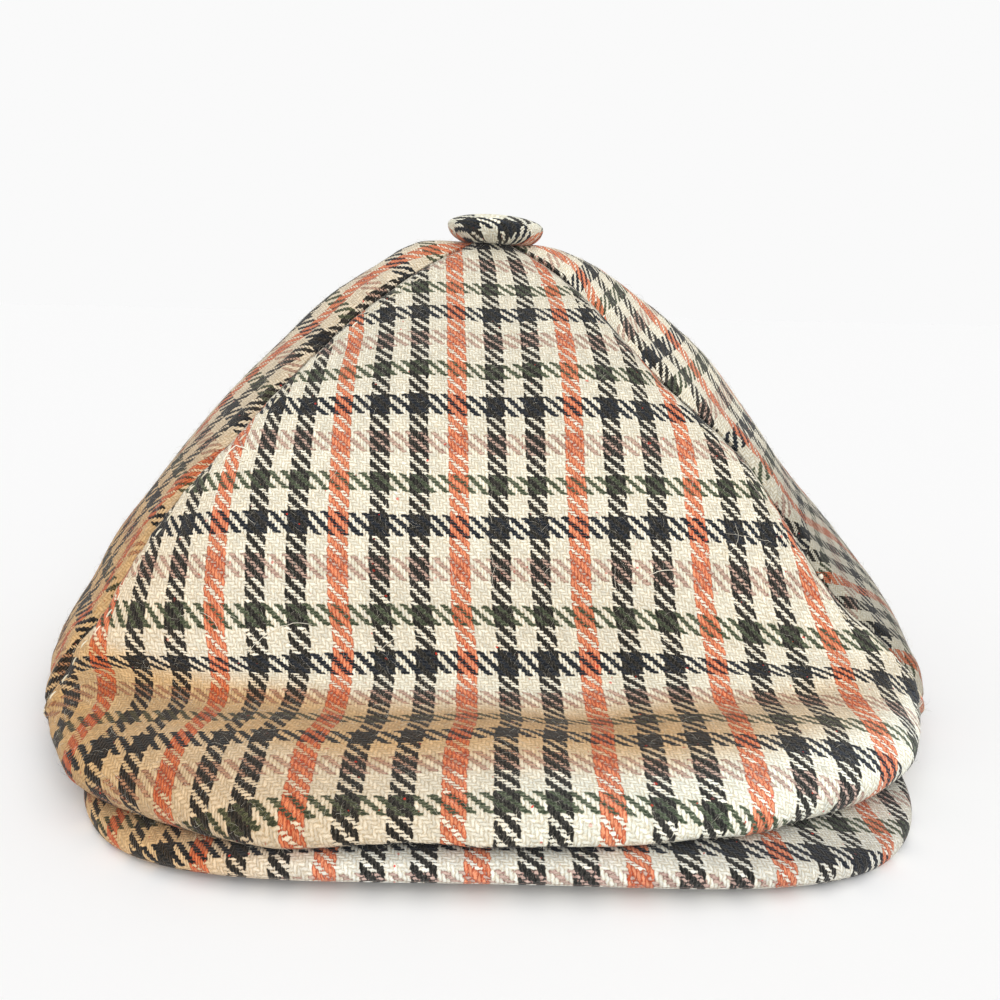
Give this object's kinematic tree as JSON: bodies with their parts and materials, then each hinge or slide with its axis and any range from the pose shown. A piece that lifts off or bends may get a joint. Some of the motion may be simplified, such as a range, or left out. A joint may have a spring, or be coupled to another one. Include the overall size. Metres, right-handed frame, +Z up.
{
  "type": "flat cap",
  "caption": "Newsboy-style flat cap in checked tweed: a wide front panel over a stiff peak, side and back panels meeting under a covered button, open underneath for the head.",
  "frame": {"origin": "centre of the bounding box at the table, under the cap", "axes": "+Z up, the peak points to -Y, the wearer's left is +X"},
  "size_m": [0.2489, 0.2688, 0.1327],
  "materials": {
    "tweed": "soft wool twill in a gun club check: cream ground with orange, navy, green and brown lines",
    "button_tweed": "the same wool check stretched over a button",
    "peak_tweed": "the same wool check over a stiff board",
    "band_cloth": "plain dark woven band"
  },
  "bodies": {
    "root": {"front_panel": "tweed", "right_side_panel": "tweed", "left_side_panel": "tweed", "back_right_panel": "tweed", "back_left_panel": "tweed", "button": "button_tweed", "peak": "peak_tweed", "head_band": "band_cloth"}
  },
  "joints": []
}
